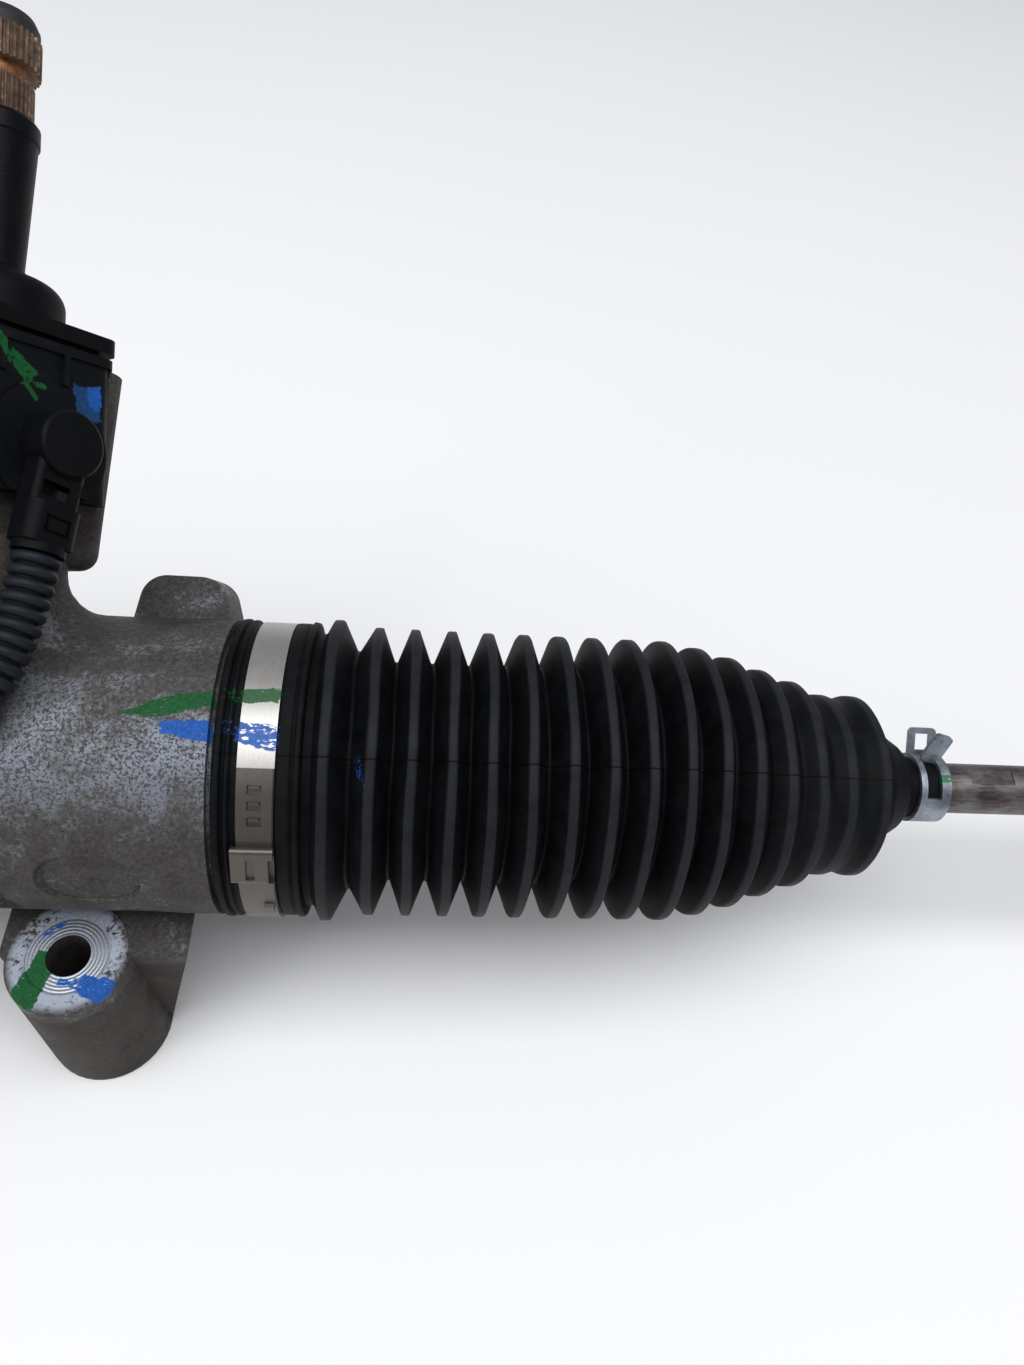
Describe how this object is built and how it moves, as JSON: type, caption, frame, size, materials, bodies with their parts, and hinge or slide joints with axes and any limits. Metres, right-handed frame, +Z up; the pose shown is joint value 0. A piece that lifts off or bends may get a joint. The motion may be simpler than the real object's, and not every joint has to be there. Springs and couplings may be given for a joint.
{
  "type": "steering rack",
  "caption": "Rack-and-pinion steering gear with belt-driven electric assist, ribbed bellows, tie rods and ball joints.",
  "frame": {"origin": "midway between the two mounting bolt holes, on the plane that the two feet stand on", "axes": "+X along the rack towards the pinion end, +Y towards the input shaft, +Z up along the bolts"},
  "size_m": [1.381, 0.2712, 0.2063],
  "materials": {
    "cast_aluminium": "as cast, mottled",
    "motor_shell": "satin",
    "case_screws": "zinc plated",
    "stator_iron": "laminated",
    "cover_plate": "matte",
    "pulley_steel": "machined",
    "belt_rubber": "matte",
    "hardened_steel": "ground",
    "bearing_steel": "ground",
    "bush_plastic": "matte",
    "yoke_metal": "machined",
    "spring_steel": "blued",
    "rusty_steel": "rusty",
    "black_plastic": "moulded, satin",
    "lock_plastic": "moulded, satin",
    "seal_rubber": "matte",
    "conduit": "corrugated",
    "bellows_rubber": "satin",
    "boot_rubber": "matte",
    "band_steel": "stainless strip",
    "clamp_spring_steel": "blue zinc",
    "forged_steel": "forged",
    "tie_rod_steel": "drawn, stained",
    "plated_nuts": "zinc plated"
  },
  "bodies": {
    "housing": {"pinion_housing": "cast_aluminium", "drive_housing": "cast_aluminium", "housing_bolts": "case_screws", "motor_case": "motor_shell", "motor_stator": "stator_iron", "motor_bolts": "case_screws", "control_unit": "cast_aluminium", "control_unit_cover": "cover_plate", "nut_bearing": "bearing_steel", "drive_belt": "belt_rubber", "rack_bush": "bush_plastic", "yoke": "yoke_metal", "yoke_liner": "bush_plastic", "yoke_springs": "spring_steel", "yoke_plug": "yoke_metal", "pinion_top_bearing": "bearing_steel", "pinion_tip_bearing": "bearing_steel", "pinion_end_cap": "yoke_metal", "sensor_body": "black_plastic", "sensor_cover": "black_plastic", "sensor_screws": "case_screws", "shaft_seal": "seal_rubber", "connector_plug": "black_plastic", "connector_lock": "lock_plastic", "sensor_lead": "conduit", "lead_plug": "black_plastic", "end_stop_right": "forged_steel", "end_stop_left": "forged_steel", "bellows_right": "bellows_rubber", "bellows_left": "bellows_rubber", "band_clamp_right": "band_steel", "band_clamp_left": "band_steel"},
    "rack": {"rack_bar": "hardened_steel", "inner_joint_right": "forged_steel", "inner_joint_left": "forged_steel", "joint_seat_right": "bush_plastic", "joint_seat_left": "bush_plastic"},
    "pinion": {"pinion_gear": "hardened_steel", "torsion_bar": "hardened_steel", "input_shaft": "rusty_steel", "shaft_sleeve": "black_plastic", "sensor_rotor": "black_plastic"},
    "nut": {"ball_nut": "hardened_steel", "nut_pulley": "pulley_steel"},
    "rotor": {"motor_rotor": "stator_iron", "motor_pulley": "pulley_steel"},
    "tie_rod_right": {"tie_rod_right": "tie_rod_steel", "lock_nut_right": "plated_nuts", "outer_joint_right": "forged_steel", "spring_clamp_right": "clamp_spring_steel", "dust_boot_right": "boot_rubber"},
    "stud_right": {"ball_stud_right": "forged_steel", "stud_nut_right": "plated_nuts"},
    "tie_rod_left": {"tie_rod_left": "tie_rod_steel", "lock_nut_left": "plated_nuts", "outer_joint_left": "forged_steel", "spring_clamp_left": "clamp_spring_steel", "dust_boot_left": "boot_rubber"},
    "stud_left": {"ball_stud_left": "forged_steel", "stud_nut_left": "plated_nuts"}
  },
  "joints": [
    {"name": "motor_turn", "type": "hinge", "parent": "housing", "child": "rotor", "pos_m": [-0.02, -0.04022, 0.09159], "axis": [1, 0, 0], "range_deg": [-8360, 8360]},
    {"name": "nut_turn", "type": "hinge", "parent": "housing", "child": "nut", "pos_m": [-0.136, 0.0425, 0.077], "axis": [1, 0, 0], "range_deg": [-3345, 3345]},
    {"name": "rack_slide", "type": "slide", "parent": "housing", "child": "rack", "axis": [1, 0, 0], "range_m": [-0.065, 0.065], "deforming": ["bellows_right", "bellows_left"]},
    {"name": "pinion_turn", "type": "hinge", "parent": "housing", "child": "pinion", "pos_m": [0.2121, 0.0318, 0.09021], "axis": [0, 0.7771, 0.6293], "range_deg": [-466, 466]},
    {"name": "tie_rod_right_swing", "type": "hinge", "parent": "rack", "child": "tie_rod_right", "pos_m": [0.365, 0.0425, 0.077], "axis": [0, 1, 0], "range_deg": [-12, 12]},
    {"name": "ball_stud_right_tilt", "type": "hinge", "parent": "tie_rod_right", "child": "stud_right", "pos_m": [0.672, 0.0425, 0.077], "axis": [0, 1, 0], "range_deg": [-18, 18], "deforming": ["dust_boot_right"]},
    {"name": "tie_rod_left_swing", "type": "hinge", "parent": "rack", "child": "tie_rod_left", "pos_m": [-0.365, 0.0425, 0.077], "axis": [0, 1, 0], "range_deg": [-12, 12]},
    {"name": "ball_stud_left_tilt", "type": "hinge", "parent": "tie_rod_left", "child": "stud_left", "pos_m": [-0.672, 0.0425, 0.077], "axis": [0, 1, 0], "range_deg": [-18, 18], "deforming": ["dust_boot_left"]}
  ],
  "couplings": [
    {"joint": "motor_turn", "follows": "rack_slide", "rad_per_m": 2244},
    {"joint": "nut_turn", "follows": "rack_slide", "rad_per_m": 897.6},
    {"joint": "pinion_turn", "follows": "rack_slide", "rad_per_m": -125}
  ]
}
